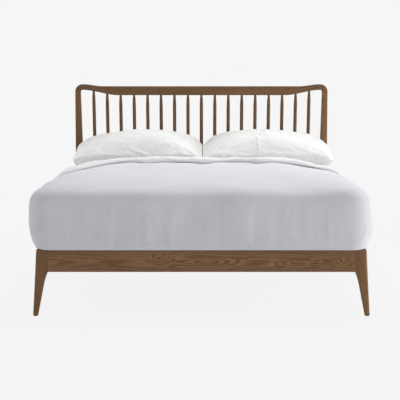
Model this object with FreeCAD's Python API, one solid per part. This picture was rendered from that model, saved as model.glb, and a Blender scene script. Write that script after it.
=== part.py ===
import FreeCAD, Part
import math
import os

# Spindle bed for a queen mattress, dressed with a duvet and two pillows.
# Millimetres. +X is to the right seen from the foot, +Y runs from the foot to the headboard, +Z is up.
# The origin is on the floor, in the middle of the whole bed's length and width.

V = FreeCAD.Vector

# ---------------------------------------------------------------- driving dimensions
frame_width = 1640.0       # over the side rails and over the headboard's posts
rail_top = 331.0           # top edge of the rails
rail_height = 111.0
rail_thick = 32.0
head_thick = 38.0          # posts and crest rail, front to back
bed_height = 1131.0        # humps at the crest rail's ends
mattress_width = 1524.0
mattress_length = 2032.0
mattress_height = 300.0
mattress_from_foot = 52.0  # foot rail's outer face to the mattress
head_gap = 21.0            # mattress to the headboard's front
duvet_puff = 103.0         # how far the duvet stands out from the mattress's sides
foot_puff_share = 0.8      # the same at the foot, as a share of it

# Timber frame
edge_round = 4.0           # round-over on the show edges of the rails
hidden_round = 2.0
glide_stand = 2.0          # what the nylon glides lift the timber off the floor
leg_block = 56.0           # front leg's block behind and beside the rails
leg_splay = 17.0           # how far a front foot stands outside the leg's top
leg_corner = 15.0          # round outer corner of the front leg's block
leg_plain_corner = 3.0     # its other corners
foot_size = 25.0           # front foot, nearly round
foot_corner = 11.0
foot_round = 2.0           # round-over under each front foot
leg_flare = 8.4            # extra width where the leg swells into the rail
flare_start = 126.0        # height where that swelling starts
post_wide = 58.5           # post at the rails
post_narrow = 36.0         # post under the crest rail
post_foot = 32.0
post_corner = 9.0
tenon_long = 25.0
tenon_thick = 12.0
foot_tenon_margin = 20.0   # shoulder above and below the foot rail's tenons
tenon_margin = 10.0        # the same on the rails between the posts

# Headboard
crest_top = 1118.0         # crest rail's top edge in the middle
crest_under = 1059.5       # its lower edge in the middle
crest_end_under = 1094.0   # its lower edge beside the posts
crest_joint = 1075.0       # where the crest rail's turned-down ends meet the posts
hump_from = 639.0          # the top edge rises from here, each side of the middle
hump_to = 767.0
dip_from = 540.0           # the lower edge rises from here
dip_to = 772.0
crest_outer_radius = 48.0
crest_inner_radius = 12.0
spindle_count = 17
spindle_pitch_top = 87.6   # at the crest rail's lower edge
spindle_pitch_low = 86.3   # at the lower rail, so the outer spindles lean outwards
spindle_radius = 11.0
spindle_neck = 7.0
spindle_swell = 85.0       # length over which a spindle swells from its neck
spindle_tenon = 22.0
lower_rail_top = 460.0
lower_rail_height = 60.0
lower_rail_thick = 30.0

# Mattress support
slat_below_rail = 40.0     # rails' top edge down to the slats' upper side
slat_from_leg = 24.0       # first slat from the front legs, and last slat from the headboard
slat_count = 14
slat_width = 70.0
slat_thick = 18.0
slat_play = 3.0            # between a slat's end and the side rail
ledge_width = 25.0
ledge_height = 35.0
ledge_play = 2.0           # between a ledge's end and the corner bracket
beam_width = 50.0
beam_wall = 2.5
beam_round = 4.0
beam_play = 0.5            # between the beam's end and its hanger
strap_width = 25.0
strap_thick = 1.2
strap_offset = 400.0       # each side of the middle

# Steel fittings
bracket_thick = 4.0
bracket_long = 60.0
bracket_height = 42.0
bracket_rise = 8.0         # brackets' lower edge above the rails' lower edge
bolt_rises = (10.0, 32.0)  # bolts and screws above the brackets' lower edge
bolt_from_edge = 10.0      # bolts from the short flange's free edge
bracket_screw_rises = (12.0, 30.0)
bracket_screw_places = (22.0, 46.0)  # along the long flange, from the leg or post
hanger_thick = 3.0
hanger_seat = 48.0
hanger_wing = 22.0
hanger_corner = 5.0
bolt_radius = 4.0
bolt_head_radius = 6.5
bolt_head_height = 4.5
insert_radius = 6.5
insert_long = 18.0
screw_radius = 2.2
screw_head_radius = 4.2
screw_head_height = 2.4
fitting_screw_long = 25.0  # in the brackets and the beam hangers
ledge_screw_long = 48.0
slat_screw_long = 40.0
ledge_screw_count = 8      # along each ledge
ledge_screw_margin = 60.0  # first and last of them from the brackets
hanger_screw_rises = (14.0, 40.0)  # above the rails' lower edge
screw_dome = 0.45          # round rim of a head, as a share of its height
dowel_radius = 5.0
dowel_long = 60.0
crest_dowel_long = 42.0
dowel_margin = 28.0        # side rails' dowels from the rails' edges
glide_radius = 9.0
glide_thick = 4.0

# Bedding
mattress_corner = 70.0
mattress_round = 18.0
duvet_top = 656.0
duvet_widest = 495.0       # height where the duvet's sides stand out furthest
duvet_over_rail = 2.0      # gap between the duvet and the rails' top
duvet_under_reach = 58.0   # how far the duvet still lies outside the mattress, just above the rails
bulge_power = 2.6          # how the sides curve in below the widest place
crown_power = 4.7          # how late they curve in above it
shoulder_power = 0.12      # how tight the shoulder is
duvet_tuck = 14.0          # thickness where it is pushed down between mattress and rails
duvet_tuck_end = 300.0
duvet_foot_corner = 120.0
duvet_head_corner = 6.0
duvet_head_end = 1550.0    # duvet's head end, from the foot rail's outer face
cloth_gap = 0.5            # between soft pieces that lie on each other
fold_front = 1452.0        # hem of the turned-back end, from the foot rail's outer face
fold_back = 1590.0
fold_thick = 36.0
fold_side_thick = 15.0     # where it is pulled down over the sides
fold_thin_from = 500.0     # distance from the middle where it starts to thin
fold_thin_to = 800.0
fold_sink = 14.0
fold_low = 352.0           # lower end of the turned-back part on each side
fold_wave = 30.0           # how far the hem wanders along the bed
hem_waves = (760.0, 420.0) # lengths of the hem's long and short waves
puff_wave = 585.0          # length of the swellings in its thickness
fold_inner_corner = 4.0
pillow_width = 800.0
pillow_depth = 490.0
pillow_crown = 128.0
pillow_belly = 88.0
crown_fullness = 0.5       # how a pillow's width shrinks towards its crown: a parabola
belly_fullness = 0.25      # and towards its underside, which is flatter
pillow_corner = 16.0       # round corners at the seam
pillow_corner_gain = 120.0 # how much rounder they are at the crown
pillow_draw = 13.0         # how far the seams are drawn in between the corners
pillow_bow = 50.0
pillow_tilt = 10.0         # degrees, back edge up
pillow_centres = (-394.0, 416.0)
pillow_to_head = 12.0      # between a pillow's back edge and the headboard

# ---------------------------------------------------------------- places worked out from them
half_width = frame_width / 2
rail_low = rail_top - rail_height
bed_length = mattress_from_foot + mattress_length + head_gap + head_thick
overhang = duvet_puff * foot_puff_share - mattress_from_foot
foot_face = overhang - (bed_length + overhang) / 2   # outer face of the foot rail
head_face = foot_face + bed_length - head_thick      # front face of the headboard
head_middle = head_face + head_thick / 2
leg_back = foot_face + leg_block
leg_inner = half_width - leg_block
rail_inner = half_width - rail_thick
slat_top = rail_top - slat_below_rail
ledge_top = slat_top - slat_thick
bracket_low = rail_low + bracket_rise
mattress_foot = foot_face + mattress_from_foot
mattress_head = mattress_foot + mattress_length
mattress_top = slat_top + mattress_height
half_mattress = mattress_width / 2
duvet_low = rail_top + duvet_over_rail
duvet_half = half_mattress + duvet_puff
bolt_heights = [bracket_low + rise for rise in bolt_rises]
dowel_heights = (rail_low + dowel_margin, rail_top - dowel_margin)
dowel_x = half_width - rail_thick / 2
bolt_x = leg_inner + bolt_from_edge
Y_AXIS = V(0, 1, 0)
X_AXIS = V(1, 0, 0)
Z_AXIS = V(0, 0, 1)


# ---------------------------------------------------------------- shared shapes
def box(x0, x1, y0, y1, z0, z1):
    return Part.makeBox(x1 - x0, y1 - y0, z1 - z0, V(x0, y0, z0))


def rod(radius, start, direction, length):
    return Part.makeCylinder(radius, length, start, direction)


def mirrored(shape):
    return shape.mirror(V(0, 0, 0), X_AXIS)


def both_sides(shapes):
    return shapes + [mirrored(shape) for shape in shapes]


def edges_on(shape, **planes):
    """Edges that lie whole in the named planes, such as x=3 or z=0."""
    found = []
    for edge in shape.Edges:
        bounds = edge.BoundBox
        spans = {
            "x": (bounds.XMin, bounds.XMax),
            "y": (bounds.YMin, bounds.YMax),
            "z": (bounds.ZMin, bounds.ZMax),
        }
        flat = [abs(end - at) < 0.01 for axis, at in planes.items() for end in spans[axis]]
        if all(flat):
            found.append(edge)
    return found


def rounded_outline(x0, x1, y0, y1, z, radii):
    """Level rectangle of four lines and four arcs; radii go round from the corner at x0, y0."""
    corners = [(x0, y0, 180), (x1, y0, 270), (x1, y1, 0), (x0, y1, 90)]
    inward = [(1, 1), (-1, 1), (-1, -1), (1, -1)]
    arcs = []
    for (x, y, start), (sx, sy), radius in zip(corners, inward, radii):
        centre = V(x + sx * radius, y + sy * radius, z)
        turn = [math.radians(start + step) for step in (0, 45, 90)]
        points = [centre + V(math.cos(a), math.sin(a), 0) * radius for a in turn]
        arcs.append(points)
    edges = []
    for points, following in zip(arcs, arcs[1:] + arcs[:1]):
        edges.append(Part.Arc(*points).toShape())
        edges.append(Part.makeLine(points[2], following[0]))
    return Part.Wire(edges)


def loft(wires, ruled=False):
    return Part.makeLoft(wires, True, ruled)


def ease(t):
    """Smooth step from 0 to 1, level at both ends."""
    return t * t * (3 - 2 * t)


def eased_curve(start, end):
    """Curve whose height follows ease() between two points of the headboard's plane."""
    third = (end.x - start.x) / 3
    curve = Part.BezierCurve()
    curve.setPoles([start, V(start.x + third, start.y, start.z), V(end.x - third, end.y, end.z), end])
    return curve.toShape()


def screw(head_seat, direction, length, shank=screw_radius, head=screw_head_radius,
          head_height=screw_head_height):
    """Screw or bolt whose shank runs along direction from its head's seat."""
    body = rod(shank, head_seat, direction, length)
    cap = rod(head, head_seat - direction * head_height, direction, head_height)
    rim = [edge for edge in cap.Edges if edge.isClosed()
           and (edge.CenterOfMass - head_seat).Length > head_height / 2]
    return body.fuse(cap.makeFillet(head_height * screw_dome, rim))


# ---------------------------------------------------------------- fasteners
def bracket_bolts():
    """Bolts through the corner brackets into the front legs and the posts, right side."""
    bolts = []
    for z in bolt_heights:
        front = screw(V(bolt_x, leg_back + bracket_thick, z), -Y_AXIS, insert_long,
                      bolt_radius, bolt_head_radius, bolt_head_height)
        back = screw(V(bolt_x, head_face - bracket_thick, z), Y_AXIS, insert_long,
                     bolt_radius, bolt_head_radius, bolt_head_height)
        bolts += [front, back]
    return bolts


def insert_pockets():
    front = [rod(insert_radius, V(bolt_x, leg_back, z), -Y_AXIS, insert_long) for z in bolt_heights]
    back = [rod(insert_radius, V(bolt_x, head_face, z), Y_AXIS, insert_long) for z in bolt_heights]
    return front + back


def threaded_inserts():
    bolts = bracket_bolts()
    return [pocket.cut(bolts) for pocket in insert_pockets()]


def bracket_screws():
    """Screws through the brackets' long flanges into the side rail, right side."""
    seat_x = rail_inner - bracket_thick
    screws = []
    for rise in bracket_screw_rises:
        for along in bracket_screw_places:
            for y in (leg_back + along, head_face - along):
                screws.append(screw(V(seat_x, y, bracket_low + rise), X_AXIS, fitting_screw_long))
    return screws


def ledge_screws():
    """Screws through the right slat ledge into the side rail."""
    first = leg_back + bracket_long + ledge_screw_margin
    last = head_face - bracket_long - ledge_screw_margin
    step = (last - first) / (ledge_screw_count - 1)
    x = rail_inner - ledge_width
    z = ledge_top - ledge_height / 2
    return [screw(V(x, first + step * i, z), X_AXIS, ledge_screw_long) for i in range(ledge_screw_count)]


def hanger_screws():
    """Screws that hold both beam hangers to the foot rail and the head rail."""
    out = beam_width / 2 + hanger_thick + hanger_wing / 2
    screws = []
    for x in (-out, out):
        for rise in hanger_screw_rises:
            foot_seat = V(x, foot_face + rail_thick + hanger_thick, rail_low + rise)
            head_seat = V(x, head_face - hanger_thick, rail_low + rise)
            screws.append(screw(foot_seat, -Y_AXIS, fitting_screw_long))
            screws.append(screw(head_seat, Y_AXIS, fitting_screw_long))
    return screws


def slat_screws():
    """Screws that hold the first and the last slat down on the ledges, right side."""
    x = rail_inner - ledge_width / 2
    ends = (slat_centre(0), slat_centre(slat_count - 1))
    return [screw(V(x, y, slat_top), -Z_AXIS, slat_screw_long) for y in ends]


def rail_dowels():
    """Dowels at both ends of the right side rail; half of each is in the leg or the post."""
    starts = (leg_back - dowel_long / 2, head_face - dowel_long / 2)
    return [rod(dowel_radius, V(dowel_x, y, z), Y_AXIS, dowel_long) for y in starts for z in dowel_heights]


# ---------------------------------------------------------------- foot end
def leg_outer(z):
    return half_width + leg_splay * (rail_top - z) / rail_top


def leg_front(z):
    return foot_face - leg_splay * max(0.0, rail_low - z) / rail_top


def leg_size(z, block):
    """Width of the leg below the rails: a straight taper that swells into the block."""
    swell = max(0.0, (z - flare_start) / (rail_low - flare_start)) ** 3
    return foot_size + (block - leg_flare - foot_size) * z / rail_low + leg_flare * swell


def leg_section(z):
    """Level section of the right front leg."""
    outer = leg_outer(z)
    front = leg_front(z)
    if z >= rail_low:
        inner = leg_inner
        back = leg_back
        round_share = 0.0
    else:
        inner = outer - leg_size(z, leg_outer(rail_low) - leg_inner)
        back = front + leg_size(z, leg_block)
        round_share = 1 - z / rail_low
    show = leg_corner + (foot_corner - leg_corner) * round_share
    plain = leg_plain_corner + (foot_corner - leg_plain_corner) * round_share
    return rounded_outline(inner, outer, front, back, z, [plain, show, plain, plain])


def foot_tenon():
    """Tenon at the foot rail's right end."""
    y0 = foot_face + (rail_thick - tenon_thick) / 2
    return box(leg_inner, leg_inner + tenon_long, y0, y0 + tenon_thick,
               rail_low + foot_tenon_margin, rail_top - foot_tenon_margin)


def glide(x, y):
    return rod(glide_radius, V(x, y, 0), Z_AXIS, glide_thick)


def front_glide():
    middle_x = leg_outer(0) - foot_size / 2
    middle_y = leg_front(0) + foot_size / 2
    return glide(middle_x, middle_y)


def front_leg():
    """Right front leg: a block beside the rails on a splayed, tapered, nearly round foot."""
    heights = (glide_stand, 60.0, 110.0, 150.0, 180.0, 202.0, rail_low)
    lower = loft([leg_section(z) for z in heights])
    block = loft([leg_section(rail_low), leg_section(rail_top)], ruled=True)
    clear = leg_plain_corner + 0.1
    show_edges = [edge for edge in edges_on(block, z=rail_top)
                  if edge.BoundBox.XMax > leg_inner + clear and edge.BoundBox.YMin < leg_back - clear]
    block = block.makeFillet(edge_round, show_edges)
    lower = lower.makeFillet(foot_round, edges_on(lower, z=glide_stand))
    leg = lower.fuse(block)
    holes = [foot_tenon(), front_glide()] + insert_pockets() + rail_dowels()
    return leg.cut(holes)


def foot_rail():
    """Rail across the foot end, tenoned into both legs."""
    rail = box(-leg_inner, leg_inner, foot_face, foot_face + rail_thick, rail_low, rail_top)
    rail = rail.makeFillet(edge_round, edges_on(rail, y=foot_face, z=rail_top))
    rail = rail.makeFillet(hidden_round, edges_on(rail, y=foot_face, z=rail_low)
                           + edges_on(rail, y=foot_face + rail_thick, z=rail_top))
    rail = rail.fuse(both_sides([foot_tenon()]))
    return rail.cut(hanger_screws())


def side_rail():
    """Right side rail, from the front leg's back to the post's front."""
    rail = box(rail_inner, half_width, leg_back, head_face, rail_low, rail_top)
    rail = rail.makeFillet(edge_round, edges_on(rail, x=half_width, z=rail_top))
    rail = rail.makeFillet(hidden_round, edges_on(rail, x=half_width, z=rail_low)
                           + edges_on(rail, x=rail_inner, z=rail_top))
    return rail.cut(bracket_screws() + ledge_screws() + rail_dowels())


# ---------------------------------------------------------------- headboard
def post_size(z):
    """Width of a post, from its foot up to the crest rail."""
    if z < rail_low:
        return post_foot + (post_wide - post_foot) * z / rail_low
    rise = max(0.0, z - rail_top) / (crest_joint - rail_top)
    return post_wide + (post_narrow - post_wide) * rise


def rail_tenon(z0, z1, thick, inner, y0):
    """Tenon at the right end of a rail between the posts."""
    middle = y0 + thick / 2
    return box(inner, inner + tenon_long, middle - tenon_thick / 2, middle + tenon_thick / 2,
               z0 + tenon_margin, z1 - tenon_margin)


def head_rail_tenon():
    """Tenon above the threaded inserts in the post."""
    above = bracket_low + bracket_height
    return rail_tenon(above, rail_top, rail_thick, half_width - post_wide, head_face)


def lower_rail_tenon():
    low = lower_rail_top - lower_rail_height
    inner = half_width - post_size(rail_top)
    return rail_tenon(low, lower_rail_top, lower_rail_thick, inner, head_middle - lower_rail_thick / 2)


def crest_dowel():
    """Dowel between the right post and the crest rail's turned-down end."""
    x = half_width - post_narrow / 2
    return rod(dowel_radius, V(x, head_middle, crest_joint - crest_dowel_long * 0.7), Z_AXIS,
               crest_dowel_long)


def back_glide():
    return glide(half_width - post_foot / 2, head_middle)


def post_blank():
    """Right post before its holes: straight outside, tapering inside."""
    sections = []
    for z in (glide_stand, rail_low, rail_top, crest_joint):
        inner = half_width - post_size(z)
        sections.append(rounded_outline(inner, half_width, head_face, head_face + head_thick, z,
                                        [post_corner] * 4))
    return loft(sections, ruled=True)


def post():
    holes = [head_rail_tenon(), lower_rail_tenon(), crest_dowel(), back_glide()]
    return post_blank().cut(holes + insert_pockets() + rail_dowels())


def crest_lower_edge(x):
    """Height of the crest rail's lower edge at x."""
    rise = min(1.0, max(0.0, (abs(x) - dip_from) / (dip_to - dip_from)))
    return crest_under + (crest_end_under - crest_under) * ease(rise)


def crest_rail():
    """Top rail with a hump over each post and ends that turn down on to the posts."""
    y = head_face
    inside = half_width - post_narrow
    diagonal = math.sqrt(0.5)
    outer_mid = V(half_width - crest_outer_radius * (1 - diagonal), y,
                  bed_height - crest_outer_radius * (1 - diagonal))
    inner_mid = V(inside - crest_inner_radius * (1 - diagonal), y,
                  crest_end_under - crest_inner_radius * (1 - diagonal))
    outer_start = V(half_width - crest_outer_radius, y, bed_height)
    outer_end = V(half_width, y, bed_height - crest_outer_radius)
    inner_start = V(inside, y, crest_end_under - crest_inner_radius)
    inner_end = V(inside - crest_inner_radius, y, crest_end_under)
    right = [
        Part.makeLine(V(0, y, crest_top), V(hump_from, y, crest_top)),
        eased_curve(V(hump_from, y, crest_top), V(hump_to, y, bed_height)),
        Part.makeLine(V(hump_to, y, bed_height), outer_start),
        Part.Arc(outer_start, outer_mid, outer_end).toShape(),
        Part.makeLine(outer_end, V(half_width, y, crest_joint)),
        Part.makeLine(V(half_width, y, crest_joint), V(inside, y, crest_joint)),
        Part.makeLine(V(inside, y, crest_joint), inner_start),
        Part.Arc(inner_start, inner_mid, inner_end).toShape(),
        eased_curve(inner_end, V(dip_from, y, crest_under)),
        Part.makeLine(V(dip_from, y, crest_under), V(0, y, crest_under)),
    ]
    outline = Part.Wire(Part.__sortEdges__(both_sides(right)))
    rail = Part.Face(outline).extrude(Y_AXIS * head_thick)
    flat = edges_on(rail, y=head_face) + edges_on(rail, y=head_face + head_thick)
    soft = [edge for edge in flat if edge.BoundBox.ZMax > crest_joint + 1]
    rail = rail.makeFillet(post_corner, soft)
    tenons = [spindle_blank(i).common(rail) for i in range(spindle_count)]
    return rail.cut(tenons + both_sides([crest_dowel()]))


def spindle_blank(index):
    """One turned spindle with its tenons, standing in its place."""
    across = index - (spindle_count - 1) / 2
    top_x = across * spindle_pitch_top
    top = crest_lower_edge(top_x)
    length = top - lower_rail_top
    neck = spindle_neck
    full = spindle_radius

    def swell(neck_z, full_z):
        """Side of the spindle from its neck to its full thickness."""
        span = full_z - neck_z
        bulge = V(neck + (full - neck) * 0.6, 0, neck_z + span * 0.3)
        curve = Part.BezierCurve()
        curve.setPoles([V(neck, 0, neck_z), bulge, V(full, 0, neck_z + span * 0.6), V(full, 0, full_z)])
        return curve.toShape()

    profile = [
        Part.makeLine(V(0, 0, -spindle_tenon), V(neck, 0, -spindle_tenon)),
        Part.makeLine(V(neck, 0, -spindle_tenon), V(neck, 0, 0)),
        swell(0, spindle_swell),
        Part.makeLine(V(full, 0, spindle_swell), V(full, 0, length - spindle_swell)),
        swell(length, length - spindle_swell),
        Part.makeLine(V(neck, 0, length), V(neck, 0, length + spindle_tenon)),
        Part.makeLine(V(neck, 0, length + spindle_tenon), V(0, 0, length + spindle_tenon)),
        Part.makeLine(V(0, 0, length + spindle_tenon), V(0, 0, -spindle_tenon)),
    ]
    turned = Part.Face(Part.Wire(profile)).revolve(V(0, 0, 0), Z_AXIS, 360)
    lean = math.degrees(math.atan2(across * (spindle_pitch_top - spindle_pitch_low), length))
    turned.rotate(V(0, 0, 0), Y_AXIS, lean)
    turned.translate(V(across * spindle_pitch_low, head_middle, lower_rail_top))
    return turned


def lower_rail():
    """Rail between the posts that carries the spindles' lower ends."""
    low = lower_rail_top - lower_rail_height
    y0 = head_middle - lower_rail_thick / 2
    rail = box(-half_width, half_width, y0, y0 + lower_rail_thick, low, lower_rail_top)
    rail = rail.makeFillet(edge_round, [edge for edge in rail.Edges if edge.Length > half_width])
    beyond = box(half_width - post_narrow, half_width, head_face, head_face + head_thick, low, lower_rail_top)
    rail = rail.cut(both_sides([post_blank(), beyond]))
    rail = rail.fuse(both_sides([lower_rail_tenon()]))
    return rail.cut([spindle_blank(i) for i in range(spindle_count)])


def head_rail():
    """Rail between the posts in line with the side rails; it carries the beam's head end."""
    inner = half_width - post_wide
    rail = box(-inner, inner, head_face, head_face + rail_thick, rail_low, rail_top)
    rail = rail.makeFillet(hidden_round, [edge for edge in rail.Edges if edge.Length > inner])
    rail = rail.fuse(both_sides([head_rail_tenon()]))
    return rail.cut(hanger_screws())


# ---------------------------------------------------------------- mattress support
def slat_centre(index):
    first = leg_back + slat_from_leg + slat_width / 2
    last = head_face - slat_from_leg - slat_width / 2
    return first + (last - first) * index / (slat_count - 1)


def slat(index):
    y = slat_centre(index)
    end = rail_inner - slat_play
    board = box(-end, end, y - slat_width / 2, y + slat_width / 2, ledge_top, slat_top)
    board = board.makeFillet(hidden_round, [edge for edge in board.Edges if edge.Length > end])
    return board.cut(both_sides(slat_screws()))


def ledge():
    """Batten on the right side rail that the slats lie on."""
    y0 = leg_back + bracket_long + ledge_play
    y1 = head_face - bracket_long - ledge_play
    batten = box(rail_inner - ledge_width, rail_inner, y0, y1, ledge_top - ledge_height, ledge_top)
    batten = batten.makeFillet(hidden_round, edges_on(batten, x=rail_inner - ledge_width,
                                                      z=ledge_top - ledge_height))
    return batten.cut(ledge_screws() + slat_screws())


def mid_beam():
    """Square steel tube down the middle, level with the ledges."""
    half = beam_width / 2
    y0 = foot_face + rail_thick + hanger_thick + beam_play
    y1 = head_face - hanger_thick - beam_play
    tube = box(-half, half, y0, y1, ledge_top - beam_width, ledge_top)
    tube = tube.makeFillet(beam_round, [edge for edge in tube.Edges if edge.Length > beam_width * 2])
    inner = half - beam_wall
    bore = box(-inner, inner, y0, y1, ledge_top - beam_width + beam_wall, ledge_top - beam_wall)
    return tube.cut(bore)


def beam_hanger():
    """Pressed steel seat at the foot rail that holds the beam's end."""
    back = foot_face + rail_thick
    inside = beam_width / 2
    outside = inside + hanger_thick
    seat_top = ledge_top - beam_width
    low = seat_top - hanger_thick
    plate = box(-outside - hanger_wing, outside + hanger_wing, back, back + hanger_thick, low, ledge_top)
    corners = [edge for edge in plate.Edges if abs(edge.Length - hanger_thick) < 0.01]
    plate = plate.makeFillet(hanger_corner, corners)
    seat = box(-outside, outside, back, back + hanger_seat, low, seat_top)
    cheeks = both_sides([box(inside, outside, back, back + hanger_seat, low, ledge_top)])
    hanger = plate.fuse([seat] + cheeks)
    return hanger.cut(hanger_screws())


def turned_end_for_end(shape):
    """The same piece at the head end instead of the foot end."""
    turned = shape.copy()
    middle = (foot_face + rail_thick + head_face) / 2
    turned.rotate(V(0, middle, 0), Z_AXIS, 180)
    return turned


def corner_brackets():
    """Angle plates in the frame's right corners, from the side rail to the leg or post."""
    top = bracket_low + bracket_height
    plates = []
    for y0, way in ((leg_back, 1), (head_face, -1)):
        ends = sorted((y0, y0 + way * bracket_long))
        skin = sorted((y0, y0 + way * bracket_thick))
        long_flange = box(rail_inner - bracket_thick, rail_inner, ends[0], ends[1], bracket_low, top)
        short_flange = box(leg_inner, rail_inner, skin[0], skin[1], bracket_low, top)
        plates.append(long_flange.fuse(short_flange).removeSplitter())
    return [plate.cut(bracket_bolts() + bracket_screws()) for plate in plates]


def strap():
    """Webbing under the slats that keeps their spacing."""
    y0 = slat_centre(0) - slat_width / 2
    y1 = slat_centre(slat_count - 1) + slat_width / 2
    return box(strap_offset, strap_offset + strap_width, y0, y1, ledge_top - strap_thick, ledge_top)


# ---------------------------------------------------------------- bedding
def mattress_block(grow=0.0, head_more=0.0):
    """Mattress with round corners; grown a little it is the room that the duvet leaves for it."""
    base = rounded_outline(-half_mattress - grow, half_mattress + grow, mattress_foot - grow,
                           mattress_head + head_more, slat_top, [mattress_corner + grow] * 4)
    block = Part.Face(base).extrude(Z_AXIS * (mattress_height + grow))
    return block.makeFillet(mattress_round, edges_on(block, z=mattress_top + grow))


def mattress():
    block = mattress_block()
    return block.makeFillet(mattress_round, edges_on(block, z=slat_top))


def duvet_half_width(z):
    """Half the duvet's width at a height: bulging sides, a soft shoulder and a slight crown."""
    if z < duvet_widest:
        drop = (duvet_widest - z) / (duvet_widest - duvet_low)
        return duvet_half - (duvet_puff - duvet_under_reach) * drop ** bulge_power
    rise = (z - duvet_widest) / (duvet_top - duvet_widest)
    return duvet_half * (1 - rise ** crown_power) ** shoulder_power


def side_heights(low, count):
    """Heights from low to the widest place, evenly spaced."""
    return [low + (duvet_widest - low) * i / count for i in range(count)]


def shoulder_heights(count):
    """Heights from the widest place to the top, closer together as the shoulder turns over."""
    return [duvet_widest + (duvet_top - duvet_widest) * (1 - (1 - i / count) ** 2.4) for i in range(count)]


def duvet_section(z):
    half = duvet_half_width(z)
    front = mattress_foot - (half - half_mattress) * foot_puff_share
    corner = duvet_foot_corner + (duvet_half - half) / 4
    return rounded_outline(-half, half, front, foot_face + duvet_head_end, z,
                           [corner, corner, duvet_head_corner, duvet_head_corner])


def fold_path(z):
    """Point on the duvet's right side at a height, and the outward direction there."""
    step = 0.1
    slope = (duvet_half_width(z + step) - duvet_half_width(z - step)) / (2 * step)
    out = V(1, 0, -slope)
    out.normalize()
    return V(duvet_half_width(z), 0, z), out


def wave(along, length, shift=0.0):
    return math.sin(2 * math.pi * along / length + shift)


def fold_section(point, out, along):
    """Puffy section of the turned-back end, square to the way it runs over the bed."""
    wander = 0.5 + 0.3 * wave(along, hem_waves[0]) + 0.2 * wave(along, hem_waves[1], 1.0)
    hem = foot_face + fold_front + fold_wave * wander
    inward = min(1.0, max(0.0, (fold_thin_to - abs(point.x)) / (fold_thin_to - fold_thin_from)))
    puff = fold_side_thick + (fold_thick - fold_side_thick) * ease(inward)
    thick = puff * (1 + 0.1 * wave(along, puff_wave))
    soft = (thick + fold_sink) * 0.45
    outline = rounded_outline(-fold_sink, thick, hem, foot_face + fold_back, 0,
                              [fold_inner_corner, soft, soft, fold_inner_corner])
    place = FreeCAD.Matrix(out.x, 0, out.z, point.x, 0, 1, 0, 0, out.z, 0, -out.x, point.z)
    return outline.transformGeometry(place)


def duvet_fold():
    """Duvet's head end turned back once, running up one side, across the top and down the other."""
    right = [fold_path(z) for z in side_heights(fold_low, 5) + shoulder_heights(14)]
    left = [(V(-p.x, 0, p.z), V(-n.x, 0, n.z)) for p, n in reversed(right)]
    flat_half = right[-1][0].x
    middle = [(V(flat_half * step / 4, 0, duvet_top), Z_AXIS) for step in range(3, -4, -1)]
    stations = right + middle + left
    sections = []
    along = 0.0
    for (point, out), (before, _) in zip(stations, stations[:1] + stations):
        along += (point - before).Length
        sections.append(fold_section(point, out, along))
    return loft(sections, ruled=True)


def duvet():
    """Duvet over the mattress: bulging over the rails, tucked inside them, its head end turned back."""
    heights = side_heights(duvet_low, 7) + shoulder_heights(14)
    body = loft([duvet_section(z) for z in heights], ruled=True)
    reach = half_mattress + duvet_tuck
    corner = mattress_corner + duvet_tuck
    tuck_outline = rounded_outline(-reach, reach, mattress_foot - duvet_tuck, foot_face + duvet_head_end,
                                   duvet_tuck_end, [corner, corner, duvet_head_corner, duvet_head_corner])
    tuck = Part.Face(tuck_outline).extrude(Z_AXIS * (duvet_low - duvet_tuck_end + duvet_tuck))
    covered = body.fuse(tuck).cut(mattress_block(cloth_gap))
    return covered.fuse(duvet_fold())


def pillow_outline(level, crown, fullness):
    """Outline of a pillow at a share of its crown: drawn-in sides at the seam, rounder above it."""
    across = (1 - level) ** fullness
    along = (1 - level ** 2.2) ** (1 / 2.2)
    half_w = pillow_width / 2 * across
    half_d = pillow_depth / 2 * along
    corner = (pillow_corner + pillow_corner_gain * level) * min(1.0, along * 1.5)
    bow = pillow_bow * level * along - pillow_draw
    z = level * crown

    def arc(*points):
        return Part.Arc(*[V(x, y, z) for x, y in points]).toShape()

    cut = corner * (1 - math.sqrt(0.5))
    w = half_w - corner
    d = half_d - corner
    edges = [
        arc((-w, -half_d), (0, -half_d - bow), (w, -half_d)),
        arc((w, -half_d), (half_w - cut, -half_d + cut), (half_w, -d)),
        arc((half_w, -d), (half_w + bow, 0), (half_w, d)),
        arc((half_w, d), (half_w - cut, half_d - cut), (w, half_d)),
        arc((w, half_d), (0, half_d + bow), (-w, half_d)),
        arc((-w, half_d), (-half_w + cut, half_d - cut), (-half_w, d)),
        arc((-half_w, d), (-half_w - bow, 0), (-half_w, -d)),
        arc((-half_w, -d), (-half_w + cut, -half_d + cut), (-w, -half_d)),
    ]
    return Part.Wire(edges)


def pillow(centre_x):
    """Plump pillow, leaning back a little towards the spindles."""
    upper = (0, 0.15, 0.35, 0.58, 0.78, 0.9, 0.965)
    lower = (0, 0.15, 0.35, 0.6, 0.8, 0.9)
    crown = loft([pillow_outline(level, pillow_crown, crown_fullness) for level in upper])
    belly = loft([pillow_outline(level, -pillow_belly, belly_fullness) for level in lower])
    cushion = crown.fuse(belly)
    cushion.rotate(V(0, 0, 0), X_AXIS, pillow_tilt)
    bounds = cushion.optimalBoundingBox(False)
    cushion.translate(V(centre_x, head_face - pillow_to_head - bounds.YMax,
                        mattress_top + cloth_gap - bounds.ZMin))
    return cushion


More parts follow.
